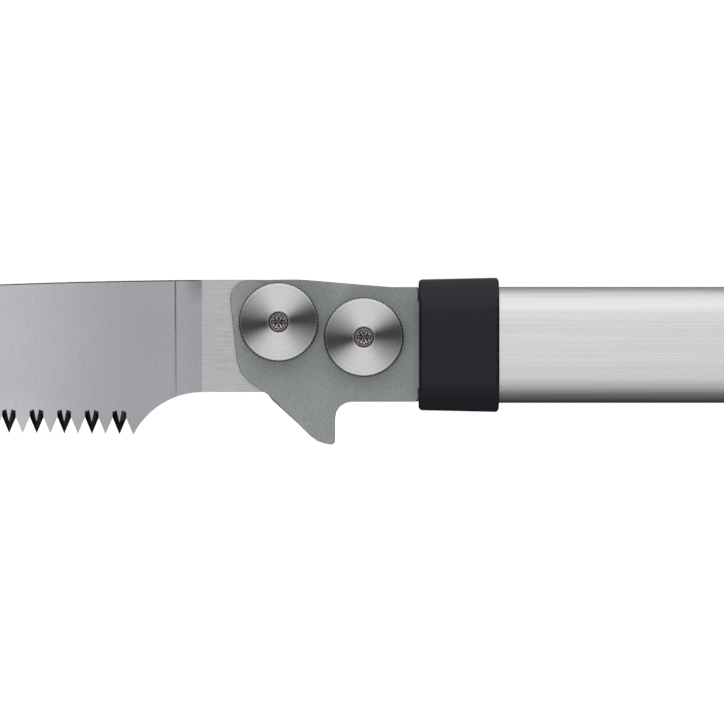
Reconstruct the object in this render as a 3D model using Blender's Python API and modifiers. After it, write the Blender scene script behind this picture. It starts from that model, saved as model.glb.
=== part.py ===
"""Telescoping pole saw, lying on its side with the pole closed up.

X runs along the pole towards the butt, and x = 0 is the flat end of the end cap. The blade lies in
the XY plane, points to -X and cuts on its -Y edge. +Z is the side with the hand knobs. An oval
aluminium pole in three sections carries the blade head; a clamp with a cam lever and a release
rocker holds each joint of the pole. Sizes are in metres.
"""

import math

import bmesh
import bpy
from mathutils import Matrix, Vector

MM = 0.001

# Clearances
TOUCH = 0.3 * MM  # between pieces that touch, and round a shaft or a tongue in its hole
SLIDE_GAP = 0.5 * MM  # between one pole section and the next, on each side

# Pole: the innermost section is set, and each further one is as much larger as wall and gap ask for
POLE_HEIGHT = 38.6 * MM
POLE_THICKNESS = 24.0 * MM
POLE_CORNER = 8.5 * MM
POLE_WALL = 1.5 * MM
OUTER_LENGTH = 940.0 * MM
INNER_SHOWING = 130.0 * MM
MIDDLE_SHOWING = 60.0 * MM
LAP_LEFT = 200.0 * MM  # what two sections still share when they are drawn out
END_ROOM = 8.0 * MM  # between the end plugs, and between the last one and the end cap
DETENT_STOPS = 3
PLUG_SPIGOT = 15.0 * MM
PLUG_FLANGE = 3.0 * MM

# Collar
COLLAR_LENGTH = 26.5 * MM
COLLAR_WALL = 2.75 * MM
COLLAR_FACE = 2.0 * MM
PIN_RADIUS = 2.0 * MM
FRONT_PIN_X = 9.0 * MM
REAR_PIN_X = 18.5 * MM

# Side plates, measured from the middle of the collar's front face
PLATE_THICKNESS = 3.0 * MM
TONGUE_LENGTH = 75.0 * MM
TONGUE_INSET = 4.8 * MM  # from the pole's outside to the tongue's edge
SHOULDER_TOP = 19.3 * MM
SHOULDER_LOW = -18.9 * MM
SHOULDER_RADIUS = 1.6 * MM
FAR_SHOULDER_RADIUS = 0.4 * MM
PLATE_FRONT = ((-9.0, 19.2, 20.0), (-40.0, 21.8, 60.0), (-63.4, 21.4, 6.0), (-60.0, -9.9, 10.0),
               (-50.0, -16.6, 20.0))  # corners as x, y and radius in millimetres
PLATE_HOOK = ((-34.0, -32.3, 9.0), (-27.9, -33.4, 1.2), (-27.9, -18.9, 5.5))
SPACER_HOOK = ((-50.2, -17.2, 4.0), (-34.0, -31.9, 8.0), (-28.3, -32.8, 1.0), (-28.3, -18.6, 5.5))
SPACER_INSET = 0.3 * MM  # from the side plates' edge to the spacer's
SPACER_SHOULDER_RADII = (0.4 * MM, 0.8 * MM)

# Blade, measured from the same point
BLADE_THICKNESS = 1.8 * MM
BLADE_LENGTH = 390.0 * MM
BLADE_ROOT_X = -59.5 * MM
SPINE_TOP = 21.7 * MM
SPINE_RADIUS = 2100.0 * MM
TOOTH_PITCH = 4.6 * MM
TOOTH_DEPTH = 5.5 * MM
TOOTH_LINE_START = -29.9 * MM
TOOTH_LINE_SLOPE = 0.019
TOOTH_LINE_RADIUS = 3000.0 * MM
HEEL_RADIUS = 26.0 * MM
HEEL_START_X = -72.0 * MM
TANG_LOW = -15.75 * MM
TANG_TOP = 16.5 * MM
TANG_END_X = -7.0 * MM
TANG_STEP_X = -49.0 * MM
SPINE_END_X = -52.0 * MM
NOSE_RADIUS = 16.0 * MM

# Clamp bolts, washers and hand knobs
FRONT_BOLT = (-46.5 * MM, 7.5 * MM)
REAR_BOLT = (-18.3 * MM, 2.5 * MM)
BOLT_RADIUS = 3.0 * MM
BOLT_HEAD_RADIUS = 6.5 * MM
BOLT_HEAD_HEIGHT = 3.0 * MM
BOLT_TIP_SUNK = 0.4 * MM  # below the knob's face
BOLT_CHAMFER = 0.4 * MM
SOCKET_RADIUS = 2.15 * MM
SOCKET_LOBE = 0.6 * MM  # between the socket's lobes and its waists
SOCKET_DEPTH = 2.5 * MM
WASHER_RADIUS = 9.0 * MM
WASHER_THICKNESS = 1.2 * MM
KNOB_RADIUS = 13.3 * MM
KNOB_THICKNESS = 8.0 * MM
KNOB_CHAMFER = 0.8 * MM
KNOB_RELIEF = 0.4 * MM  # the knob bears on its washer only inside this step

# Pole locks, measured along the pole from the mouth of the housing
LOCK_LENGTH = 80.0 * MM
LOCK_WALL = 4.5 * MM
CLAMP_LENGTH = 28.0 * MM
RING_LENGTH = 7.0 * MM
SPLIT_WIDTH = 3.0 * MM
RELIEF_WIDTH = 1.5 * MM
EAR_LENGTH = 24.0 * MM
EAR_REACH = 15.0 * MM
EAR_HALF = 8.0 * MM
DRAW_X = 16.0 * MM
DRAW_RADIUS = 2.5 * MM
DRAW_OFFSET = 8.0 * MM
NUT_RADIUS = 4.6 * MM
NUT_HEIGHT = 3.4 * MM
CAM_RADIUS = 6.0 * MM
CAM_THROW = 0.8 * MM
CAM_PIN_RADIUS = 2.0 * MM
CAM_WASHER_THICKNESS = 1.5 * MM
CAM_WASHER_RADIUS = 6.2 * MM
EYE_RADIUS = 4.6 * MM
EYE_WIDTH = 5.4 * MM
LEVER_LENGTH = 60.0 * MM
LEVER_WIDTH = 13.0 * MM
CAM_PROUD = 0.4 * MM  # the cam is this much wider than the lever's arm
LEVER_LOW = ((0.0, -2.5, 0.0), (42.0, -2.0, 20.0))  # the arm's underside, in millimetres from its pin
LEVER_HIGH = ((39.6, 3.0, 20.0), (0.0, 3.0, 0.0))  # and its top, back towards the pin
LEVER_TIP_LOW = (0.0, 4.0, 1.5)  # the tip's corners, in millimetres from the lever's length
LEVER_TIP_HIGH = (-2.0, 7.0, 1.0)
ROCKER_X = 52.0 * MM
ROCKER_LIFT = 4.5 * MM
ROCKER_WIDTH = 12.0 * MM
ROCKER_SIDE = ((-17.0, 1.2, 0.6), (-6.0, 1.2, 2.0), (-3.5, -2.6, 1.0), (15.0, -2.6, 0.8),
               (15.6, 2.2, 1.5), (4.0, 3.2, 10.0), (-8.0, 3.4, 8.0), (-18.0, 6.2, 1.5))
ROCKER_PIN_RADIUS = 1.5 * MM
CHEEK_WIDTH = 3.0 * MM
CHEEK_LENGTH = 10.0 * MM
CHEEK_HEIGHT = 7.5 * MM
DETENT_X = 10.0 * MM  # from the rocker's pivot
DETENT_RADIUS = 2.2 * MM
DETENT_SWING = 1.6 * MM  # room that the detent pin needs round it as the rocker tips
DETENT_HOLE_RADIUS = 3.0 * MM
SPRING_X = -12.0 * MM  # from the rocker's pivot
SPRING_RADIUS = 2.2 * MM
SPRING_WIRE = 0.4 * MM
SPRING_TURNS = 3
SPRING_SEAT = 1.2 * MM  # underside of the rocker's pad above its pivot
SCREW_HEAD_RADIUS = 3.5 * MM
SCREW_HEAD_HEIGHT = 2.2 * MM
SCREW_RADIUS = 1.7 * MM
LOCK_SCREW_STATIONS = (43.0 * MM, 71.0 * MM)

# Butt
CAP_BLOCK = 26.0 * MM
CAP_SLEEVE = 45.0 * MM
CAP_WALL = 4.5 * MM
HANG_HOLE_RADIUS = 6.0 * MM
CAP_SCREW_X = 22.0 * MM  # from the end of the pole
GRIP_LENGTH = 320.0 * MM
GRIP_WALL = 2.2 * MM
GRIP_GAP = 30.0 * MM

# An outline drawn in a piece's own XY plane is turned to be extruded along X, Y or Z
ALONG_X = (math.radians(90), 0, math.radians(90))  # the outline's points are (y, z)
ALONG_Y = (math.radians(90), 0, 0)  # the outline's points are (x, z)
ALONG_Z = (0, 0, 0)  # the outline's points are (x, y)
ROUND_STEPS = 16
ARC_STEPS = 8
SPINE_STEPS = 20
KNOB_STEPS = 36
DRAWING_TURN = math.radians(35)
ARC_STEP = math.radians(22.5)


for old in list(bpy.data.objects):
    bpy.data.objects.remove(old)

parts = bpy.data.collections.new("telescoping_pole_saw")
cutters = bpy.data.collections.new("cutters")
bpy.context.scene.collection.children.link(parts)
bpy.context.scene.collection.children.link(cutters)


# ---------------------------------------------------------------- finishes


def finish(name, colour, metallic, roughness):
    material = bpy.data.materials.new(name)
    material.use_nodes = True
    shader = material.node_tree.nodes["Principled BSDF"]
    shader.inputs["Base Color"].default_value = (*colour, 1)
    shader.inputs["Metallic"].default_value = metallic
    shader.inputs["Roughness"].default_value = roughness
    return material


BLADE_STEEL = finish("blade_steel", (0.52, 0.53, 0.56), 1.0, 0.38)
PLATE_GREY = finish("plate_grey", (0.24, 0.26, 0.26), 0.5, 0.55)
TURNED_STEEL = finish("turned_steel", (0.62, 0.62, 0.64), 1.0, 0.28)
ZINC_STEEL = finish("zinc_steel", (0.55, 0.55, 0.56), 1.0, 0.35)
POLE_ALUMINIUM = finish("pole_aluminium", (0.75, 0.74, 0.75), 1.0, 0.32)
BLACK_PLASTIC = finish("black_plastic", (0.020, 0.018, 0.023), 0.0, 0.5)
GREY_NYLON = finish("grey_nylon", (0.35, 0.35, 0.34), 0.0, 0.45)
BLACK_RUBBER = finish("black_rubber", (0.016, 0.016, 0.017), 0.0, 0.8)


# ---------------------------------------------------------------- outlines


def rounded(corners):
    """A closed outline through (x, y, radius) corners, each rounded by its own radius."""
    points = []
    for i, (x, y, radius) in enumerate(corners):
        before = corners[i - 1]
        after = corners[(i + 1) % len(corners)]
        if radius == 0:
            points.append((x, y))
            continue
        to_before = math.atan2(before[1] - y, before[0] - x)
        to_after = math.atan2(after[1] - y, after[0] - x)
        opening = (to_after - to_before + math.pi) % (2 * math.pi) - math.pi
        middle = to_before + opening / 2
        half = abs(opening) / 2
        centre_x = x + radius / math.sin(half) * math.cos(middle)
        centre_y = y + radius / math.sin(half) * math.sin(middle)
        sweep = (math.pi - abs(opening)) * math.copysign(1, opening)
        steps = max(2, round(abs(sweep) / ARC_STEP))
        for step in range(steps + 1):
            angle = middle + math.pi + sweep * (0.5 - step / steps)
            points.append((centre_x + radius * math.cos(angle), centre_y + radius * math.sin(angle)))
    return points


def box_outline(x_low, x_high, y_low, y_high, radius=0.0):
    corners = [(x_low, y_low), (x_high, y_low), (x_high, y_high), (x_low, y_high)]
    return rounded([(x, y, radius) for x, y in corners])


def circle_outline(x, y, radius, steps=ROUND_STEPS):
    turns = [2 * math.pi * step / steps for step in range(steps)]
    return [(x + radius * math.cos(turn), y + radius * math.sin(turn)) for turn in turns]


def nested(level):
    """How much larger a section is than the inner one, on each side (0 inner, 1 middle, 2 outer)."""
    return level * (POLE_WALL + SLIDE_GAP)


def half_height(level, growth=0.0):
    return POLE_HEIGHT / 2 + nested(level) + growth


def half_thickness(level, growth=0.0):
    return POLE_THICKNESS / 2 + nested(level) + growth


def section(level, growth=0.0):
    """The oval outside of a pole section, grown on each side."""
    side = half_height(level, growth)
    top = half_thickness(level, growth)
    return box_outline(-side, side, -top, top, POLE_CORNER + nested(level) + growth)


def corners_in_mm(corners):
    return [(x * MM, y * MM, radius * MM) for x, y, radius in corners]


# ---------------------------------------------------------------- solids


def weld(mesh):
    shape = bmesh.new()
    shape.from_mesh(mesh)
    bmesh.ops.remove_doubles(shape, verts=shape.verts, dist=0.001 * MM)
    bmesh.ops.recalc_face_normals(shape, faces=shape.faces)
    shape.to_mesh(mesh)
    shape.free()


def place(name, mesh, material, frame, at, turn=ALONG_Z):
    """Puts a mesh in the model under its frame; with no material it is a cutter."""
    piece = bpy.data.objects.new(name, mesh)
    piece.parent = frame
    piece.location = at
    piece.rotation_euler = turn
    if material is None:
        cutters.objects.link(piece)
        piece.hide_render = True
        piece.display_type = "WIRE"
    else:
        parts.objects.link(piece)
        mesh.materials.append(material)
    return piece


def extrusion(name, outlines, length, material, frame, at, turn=ALONG_Z):
    """A flat outline, with its holes, given a thickness; the piece's origin is halfway through it.

    It is drawn in millimetres and askew, so that a long row of small teeth fills cleanly.
    """
    drawing = Matrix.Rotation(DRAWING_TURN, 4, "Z") @ Matrix.Scale(1 / MM, 4)
    curve = bpy.data.curves.new(name, "CURVE")
    curve.dimensions = "2D"
    curve.fill_mode = "BOTH"
    curve.extrude = length / 2 / MM
    for outline in outlines:
        spline = curve.splines.new("POLY")
        spline.points.add(len(outline) - 1)
        for point, (x, y) in zip(spline.points, outline):
            point.co = drawing @ Vector((x, y, 0, 1))
        spline.use_cyclic_u = True
    drawn = bpy.data.objects.new(name + "_drawn", curve)
    bpy.context.scene.collection.objects.link(drawn)
    depsgraph = bpy.context.evaluated_depsgraph_get()
    mesh = bpy.data.meshes.new_from_object(drawn.evaluated_get(depsgraph))
    bpy.data.objects.remove(drawn)
    bpy.data.curves.remove(curve)
    mesh.materials.clear()
    mesh.transform(drawing.inverted())
    weld(mesh)
    return place(name, mesh, material, frame, at, turn)


def along_pole(name, outlines, x_start, x_end, material, frame):
    at = ((x_start + x_end) / 2, 0, 0)
    return extrusion(name, outlines, x_end - x_start, material, frame, at, ALONG_X)


def rod(name, radius, length, material, frame, at, turn=ALONG_Z, steps=ROUND_STEPS):
    shape = bmesh.new()
    bmesh.ops.create_cone(
        shape, cap_ends=True, segments=steps, radius1=radius, radius2=radius, depth=length
    )
    mesh = bpy.data.meshes.new(name)
    shape.to_mesh(mesh)
    shape.free()
    return place(name, mesh, material, frame, at, turn)


def block(name, low, high, material, frame):
    shape = bmesh.new()
    bmesh.ops.create_cube(shape, size=1)
    size = [b - a for a, b in zip(low, high)]
    bmesh.ops.scale(shape, vec=size, verts=shape.verts)
    mesh = bpy.data.meshes.new(name)
    shape.to_mesh(mesh)
    shape.free()
    at = [(a + b) / 2 for a, b in zip(low, high)]
    return place(name, mesh, material, frame, at)


def turned(name, profile, material, frame, at, turn=ALONG_Z, closed=False, steps=ROUND_STEPS):
    """A lathe piece: (radius, height) points down the outer side; a ring's profile is closed."""
    edges = [(i, i + 1) for i in range(len(profile) - 1)]
    if closed:
        edges.append((len(profile) - 1, 0))
    mesh = bpy.data.meshes.new(name)
    mesh.from_pydata([(radius, 0, height) for radius, height in profile], edges, [])
    piece = place(name, mesh, material, frame, at, turn)
    spin = piece.modifiers.new("turning", "SCREW")
    spin.steps = steps
    spin.render_steps = steps
    spin.use_merge_vertices = True
    spin.merge_threshold = 0.01 * MM
    return piece


def combine(target, tool, operation):
    change = target.modifiers.new(tool.name, "BOOLEAN")
    change.operation = operation
    change.solver = "EXACT"
    change.object = tool


def cut(target, *tools):
    for tool in tools:
        combine(target, tool, "DIFFERENCE")


def join(target, *tools):
    for tool in tools:
        combine(target, tool, "UNION")


def soften(piece, width, segments=1):
    edge = piece.modifiers.new("softened_edges", "BEVEL")
    edge.width = width
    edge.segments = segments
    edge.limit_method = "ANGLE"
    edge.angle_limit = math.radians(50)


def frame_at(name, x):
    """An empty on the pole's axis that carries the pieces placed from it."""
    empty = bpy.data.objects.new(name, None)
    empty.location = (x, 0, 0)
    parts.objects.link(empty)
    return empty


# ---------------------------------------------------------------- stations along the pole

POLE_SETBACK = CLAMP_LENGTH + TOUCH + RING_LENGTH + TOUCH  # lock mouth to the end of its pole

OUTER_END = -CAP_BLOCK - TOUCH
OUTER_START = OUTER_END - OUTER_LENGTH
LOWER_MOUTH = OUTER_START - POLE_SETBACK
UPPER_MOUTH = LOWER_MOUTH - MIDDLE_SHOWING - LOCK_LENGTH
MIDDLE_START = UPPER_MOUTH + POLE_SETBACK
COLLAR_FRONT = UPPER_MOUTH - INNER_SHOWING - COLLAR_LENGTH
INNER_START = COLLAR_FRONT + COLLAR_FACE + TOUCH
PLUG_TOTAL = PLUG_FLANGE + TOUCH
MIDDLE_END = OUTER_END - END_ROOM - PLUG_TOTAL
INNER_END = MIDDLE_END - PLUG_SPIGOT - END_ROOM - PLUG_TOTAL

head = frame_at("head_frame", COLLAR_FRONT)
upper = frame_at("upper_lock_frame", UPPER_MOUTH)
lower = frame_at("lower_lock_frame", LOWER_MOUTH)
butt = frame_at("butt_frame", OUTER_END)


# ---------------------------------------------------------------- head

BLADE_HALF = BLADE_THICKNESS / 2
PLATE_LOW = BLADE_HALF + TOUCH
PLATE_HIGH = PLATE_LOW + PLATE_THICKNESS
BOLT_HOLE_RADIUS = BOLT_RADIUS + TOUCH
PIN_HOLE_RADIUS = PIN_RADIUS + TOUCH
TONGUE_HALF = POLE_HEIGHT / 2 - TONGUE_INSET


def spine_height(x):
    past_root = max(0.0, BLADE_ROOT_X - x)
    return SPINE_TOP - past_root**2 / (2 * SPINE_RADIUS)


def tooth_line(past_heel):
    """Height of the tooth tips, which lie on a long hollow arc."""
    rise = TOOTH_LINE_SLOPE * past_heel
    return TOOTH_LINE_START + rise - past_heel**2 / (2 * TOOTH_LINE_RADIUS)


def blade_outline():
    heel_y = TANG_LOW - HEEL_RADIUS
    heel_end = math.acos((TOOTH_LINE_START - heel_y) / HEEL_RADIUS)
    heel_x = HEEL_START_X - HEEL_RADIUS * math.sin(heel_end)
    points = [(TANG_END_X, TANG_TOP), (TANG_END_X, TANG_LOW)]
    for step in range(ARC_STEPS + 1):
        angle = heel_end * step / ARC_STEPS
        x = HEEL_START_X - HEEL_RADIUS * math.sin(angle)
        points.append((x, heel_y + HEEL_RADIUS * math.cos(angle)))
    teeth = round(BLADE_LENGTH / TOOTH_PITCH) - 1
    for tooth in range(teeth):
        past_heel = TOOTH_PITCH * (tooth + 0.5)
        points.append((heel_x - past_heel, tooth_line(past_heel) + TOOTH_DEPTH))
        past_heel += TOOTH_PITCH / 2
        points.append((heel_x - past_heel, tooth_line(past_heel)))
    nose_x = heel_x - TOOTH_PITCH * (teeth + 1)
    points.append((nose_x, tooth_line(heel_x - nose_x) + TOOTH_DEPTH))
    nose_top = spine_height(nose_x + NOSE_RADIUS)
    for step in range(ARC_STEPS + 1):
        angle = math.radians(180 - 90 * step / ARC_STEPS)
        x = nose_x + NOSE_RADIUS * (1 + math.cos(angle))
        points.append((x, nose_top - NOSE_RADIUS * (1 - math.sin(angle))))
    spine_start = nose_x + NOSE_RADIUS
    for step in range(1, SPINE_STEPS + 1):
        x = spine_start + (SPINE_END_X - spine_start) * step / SPINE_STEPS
        points.append((x, spine_height(x)))
    points.append((TANG_STEP_X, TANG_TOP))
    return points


def plate_outline(shoulder_radius):
    """A side plate: rounded front, hook below, square shoulders on the collar and a long tongue."""
    corners = corners_in_mm(PLATE_FRONT + PLATE_HOOK)
    corners += [
        (-TOUCH, SHOULDER_LOW, shoulder_radius),
        (-TOUCH, -TONGUE_HALF, 0),
        (TONGUE_LENGTH, -TONGUE_HALF, 0),
        (TONGUE_LENGTH, TONGUE_HALF, 0),
        (-TOUCH, TONGUE_HALF, 0),
        (-TOUCH, SHOULDER_TOP, shoulder_radius),
    ]
    return rounded(corners)


def spacer_outline():
    """What the tang leaves open between the side plates: the hook, the shoulders and the tongue."""
    below_tang = TANG_LOW - TOUCH
    behind_tang = TANG_END_X + TOUCH
    top_radius, low_radius = SPACER_SHOULDER_RADII
    hook = corners_in_mm(SPACER_HOOK)
    corners = [
        (hook[0][0], below_tang, 0),
        *hook,
        (-TOUCH, SHOULDER_LOW + SPACER_INSET, low_radius),
        (-TOUCH, -TONGUE_HALF + SPACER_INSET, 0),
        (TONGUE_LENGTH, -TONGUE_HALF + SPACER_INSET, 0),
        (TONGUE_LENGTH, TONGUE_HALF - SPACER_INSET, 0),
        (-TOUCH, TONGUE_HALF - SPACER_INSET, 0),
        (-TOUCH, SHOULDER_TOP - SPACER_INSET, top_radius),
        (behind_tang, SHOULDER_TOP - SPACER_INSET, 0),
        (behind_tang, below_tang, 0),
    ]
    return rounded(corners)


def star_outline():
    """The six lobes of the socket in the end of a clamp bolt."""
    points = []
    for step in range(KNOB_STEPS):
        turn = 2 * math.pi * step / KNOB_STEPS
        radius = SOCKET_RADIUS - SOCKET_LOBE / 2 * (1 - math.cos(6 * turn))
        points.append((radius * math.cos(turn), radius * math.sin(turn)))
    return points


bolt_holes = [circle_outline(x, y, BOLT_HOLE_RADIUS) for x, y in (FRONT_BOLT, REAR_BOLT)]
pin_holes = [circle_outline(x, 0, PIN_HOLE_RADIUS) for x in (FRONT_PIN_X, REAR_PIN_X)]
plate_middle = (PLATE_LOW + PLATE_HIGH) / 2

extrusion("saw_blade", [blade_outline(), *bolt_holes], BLADE_THICKNESS, BLADE_STEEL, head, (0, 0, 0))
extrusion(
    "near_side_plate",
    [plate_outline(SHOULDER_RADIUS), *bolt_holes, *pin_holes],
    PLATE_THICKNESS,
    PLATE_GREY,
    head,
    (0, 0, plate_middle),
)
extrusion(
    "far_side_plate",
    [plate_outline(FAR_SHOULDER_RADIUS), *bolt_holes, *pin_holes],
    PLATE_THICKNESS,
    PLATE_GREY,
    head,
    (0, 0, -plate_middle),
)
extrusion(
    "spacer_plate",
    [spacer_outline(), *pin_holes],
    BLADE_THICKNESS,
    PLATE_GREY,
    head,
    (0, 0, 0),
)


def add_packer(name, side):
    """A moulded block that fills the pole between its wall and the tongue, on one side."""
    start = COLLAR_FACE + TOUCH
    packer = along_pole(
        name, [section(0, -POLE_WALL - TOUCH)], start, TONGUE_LENGTH, GREY_NYLON, head
    )
    near = side * (PLATE_HIGH + TOUCH)
    far = side * POLE_THICKNESS
    kept = block(
        name + "_kept",
        (start - MM, -POLE_HEIGHT, min(near, far)),
        (TONGUE_LENGTH + MM, POLE_HEIGHT, max(near, far)),
        None,
        head,
    )
    combine(packer, kept, "INTERSECT")
    for end, x in (("front", FRONT_PIN_X), ("rear", REAR_PIN_X)):
        at = (x, 0, 0)
        cut(packer, rod(f"{name}_{end}_hole", PIN_HOLE_RADIUS, 2 * POLE_THICKNESS, None, head, at))


add_packer("near_packer", 1)
add_packer("far_packer", -1)

for end, x in (("front", FRONT_PIN_X), ("rear", REAR_PIN_X)):
    rod(f"{end}_cross_pin", PIN_RADIUS, POLE_THICKNESS, ZINC_STEEL, head, (x, 0, 0))

collar = along_pole(
    "head_collar", [section(0, COLLAR_WALL)], 0, COLLAR_LENGTH, BLACK_PLASTIC, head
)
soften(collar, 1.3 * MM, 2)
cut(
    collar,
    along_pole(
        "collar_bore", [section(0, TOUCH)], COLLAR_FACE, COLLAR_LENGTH + MM, None, head
    ),
    block(
        "collar_slot",
        (-MM, -TONGUE_HALF - TOUCH, -PLATE_HIGH - TOUCH),
        (COLLAR_FACE + MM, TONGUE_HALF + TOUCH, PLATE_HIGH + TOUCH),
        None,
        head,
    ),
)

WASHER_LOW = PLATE_HIGH + TOUCH
KNOB_LOW = WASHER_LOW + WASHER_THICKNESS + TOUCH
KNOB_HIGH = KNOB_LOW + KNOB_THICKNESS


def add_clamp(end, x, y):
    """Clamp bolt from the far side, with a washer and a round hand knob on its threaded end."""
    head_low = -PLATE_HIGH - TOUCH
    tip = KNOB_HIGH - BOLT_TIP_SUNK
    r = BOLT_RADIUS
    bolt = turned(
        f"{end}_clamp_bolt",
        [
            (0, tip),
            (r - BOLT_CHAMFER, tip),
            (r, tip - BOLT_CHAMFER),
            (r, head_low),
            (BOLT_HEAD_RADIUS, head_low),
            (BOLT_HEAD_RADIUS * 0.94, head_low - 0.5 * BOLT_HEAD_HEIGHT),
            (BOLT_HEAD_RADIUS * 0.7, head_low - 0.85 * BOLT_HEAD_HEIGHT),
            (0, head_low - BOLT_HEAD_HEIGHT),
        ],
        ZINC_STEEL,
        head,
        (x, y, 0),
    )
    socket_at = (x, y, tip - SOCKET_DEPTH / 2 + MM / 2)
    socket = extrusion(
        f"{end}_socket", [star_outline()], SOCKET_DEPTH + MM, None, head, socket_at
    )
    cut(bolt, socket)
    hole = BOLT_HOLE_RADIUS
    turned(
        f"{end}_washer",
        [(WASHER_RADIUS, WASHER_THICKNESS), (WASHER_RADIUS, 0), (hole, 0), (hole, WASHER_THICKNESS)],
        ZINC_STEEL,
        head,
        (x, y, WASHER_LOW),
        closed=True,
    )
    r = KNOB_RADIUS
    top = KNOB_THICKNESS
    turned(
        f"{end}_knob",
        [
            (r - KNOB_CHAMFER, top),
            (r, top - KNOB_CHAMFER),
            (r, KNOB_RELIEF + KNOB_CHAMFER),
            (r - KNOB_CHAMFER, KNOB_RELIEF),
            (WASHER_RADIUS, KNOB_RELIEF),
            (WASHER_RADIUS - KNOB_RELIEF, 0),
            (hole, 0),
            (hole, top),
        ],
        TURNED_STEEL,
        head,
        (x, y, KNOB_LOW),
        closed=True,
        steps=KNOB_STEPS,
    )


add_clamp("front", *FRONT_BOLT)
add_clamp("rear", *REAR_BOLT)


# ---------------------------------------------------------------- pole sections


def add_section(name, level, x_start, x_end, wall_holes):
    """A tube of the pole with its holes, which are (x, side, radius): side is z for the lock's
    detent, +y or -y for a screw, and pin for a cross pin through both flats."""
    tube = along_pole(
        name,
        [section(level), section(level, -POLE_WALL)],
        x_start,
        x_end,
        POLE_ALUMINIUM,
        None,
    )
    for i, (x, side, radius) in enumerate(wall_holes):
        reach = 4 * POLE_WALL
        if side == "pin":
            at = (x, 0, 0)
            turn = ALONG_Z
            reach = 2 * POLE_THICKNESS
        elif side == "z":
            at = (x, 0, half_thickness(level, -POLE_WALL / 2))
            turn = ALONG_Z
        else:
            at = (x, float(side + "1") * half_height(level, -POLE_WALL / 2), 0)
            turn = ALONG_Y
        cut(tube, rod(f"{name}_hole_{i}", radius, reach, None, None, at, turn, 16))


SCREW_HOLE_RADIUS = SCREW_RADIUS + TOUCH
DETENT_PASS_RADIUS = DETENT_RADIUS + DETENT_SWING
DETENT_STATION = ROCKER_X + DETENT_X
MIDDLE_TRAVEL = INNER_END - MIDDLE_START - LAP_LEFT
OUTER_TRAVEL = MIDDLE_END - OUTER_START - LAP_LEFT


def stops(mouth, travel):
    """Detent holes: where the lock's pin stands after each equal share of the travel."""
    shares = [(i + 1) / DETENT_STOPS for i in range(DETENT_STOPS)]
    return [(mouth + DETENT_STATION + travel * share, "z", DETENT_HOLE_RADIUS) for share in shares]


def lock_holes(mouth):
    screws = [(mouth + station, "+", SCREW_HOLE_RADIUS) for station in LOCK_SCREW_STATIONS]
    return [(mouth + DETENT_STATION, "z", DETENT_PASS_RADIUS), *screws]


pin_stations = [COLLAR_FRONT + x for x in (FRONT_PIN_X, REAR_PIN_X)]
add_section(
    "inner_pole",
    0,
    INNER_START,
    INNER_END,
    [(x, "pin", PIN_HOLE_RADIUS) for x in pin_stations] + stops(UPPER_MOUTH, MIDDLE_TRAVEL),
)
add_section(
    "middle_pole",
    1,
    MIDDLE_START,
    MIDDLE_END,
    lock_holes(UPPER_MOUTH) + stops(LOWER_MOUTH, OUTER_TRAVEL),
)
cap_screw_station = OUTER_END - CAP_SCREW_X
add_section(
    "outer_pole",
    2,
    OUTER_START,
    OUTER_END,
    lock_holes(LOWER_MOUTH)
    + [(cap_screw_station, side, SCREW_HOLE_RADIUS) for side in ("+", "-")],
)


def add_plug(name, level, tube_end):
    """Closes the lower end of a section and glides in the next one."""
    spigot_start = tube_end - PLUG_SPIGOT
    flange_start = tube_end + TOUCH
    flange_end = flange_start + PLUG_FLANGE
    flange = along_pole(
        name, [section(level, SLIDE_GAP - TOUCH)], flange_start, flange_end, GREY_NYLON, None
    )
    spigot = along_pole(
        name + "_spigot",
        [section(level, -POLE_WALL - TOUCH)],
        spigot_start,
        flange_start + PLUG_FLANGE / 2,
        None,
        None,
    )
    join(flange, spigot)


add_plug("inner_end_plug", 0, INNER_END)
add_plug("middle_end_plug", 1, MIDDLE_END)


# ---------------------------------------------------------------- screws


def add_screw(name, x, side, surface, shank, frame):
    """A pan head screw through a wall, along +Y (side 1) or -Y (side -1)."""
    head_low = TOUCH
    top = head_low + SCREW_HEAD_HEIGHT
    r = SCREW_HEAD_RADIUS
    turned(
        name,
        [
            (0, top),
            (0.6 * r, top - 0.1 * SCREW_HEAD_HEIGHT),
            (0.92 * r, top - 0.4 * SCREW_HEAD_HEIGHT),
            (r, head_low),
            (SCREW_RADIUS, head_low),
            (SCREW_RADIUS, head_low - shank),
            (0, head_low - shank),
        ],
        ZINC_STEEL,
        frame,
        (x, side * surface, 0),
        (math.radians(-90 * side), 0, 0),
        steps=16,
    )


# ---------------------------------------------------------------- locks


def spring_mesh(name, height):
    """A closed coil of round wire that stands on z = 0."""
    turn_steps = 10
    rise = height - 2 * SPRING_WIRE
    count = SPRING_TURNS * turn_steps
    curve = bpy.data.curves.new(name, "CURVE")
    curve.dimensions = "3D"
    curve.bevel_depth = SPRING_WIRE
    curve.bevel_resolution = 1
    curve.use_fill_caps = True
    spline = curve.splines.new("POLY")
    spline.points.add(count)
    for step, point in enumerate(spline.points):
        angle = 2 * math.pi * step / turn_steps
        z = SPRING_WIRE + rise * step / count
        point.co = (SPRING_RADIUS * math.cos(angle), SPRING_RADIUS * math.sin(angle), z, 1)
    drawn = bpy.data.objects.new(name + "_drawn", curve)
    bpy.context.scene.collection.objects.link(drawn)
    depsgraph = bpy.context.evaluated_depsgraph_get()
    mesh = bpy.data.meshes.new_from_object(drawn.evaluated_get(depsgraph))
    bpy.data.objects.remove(drawn)
    mesh.materials.clear()
    weld(mesh)
    return mesh


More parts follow.
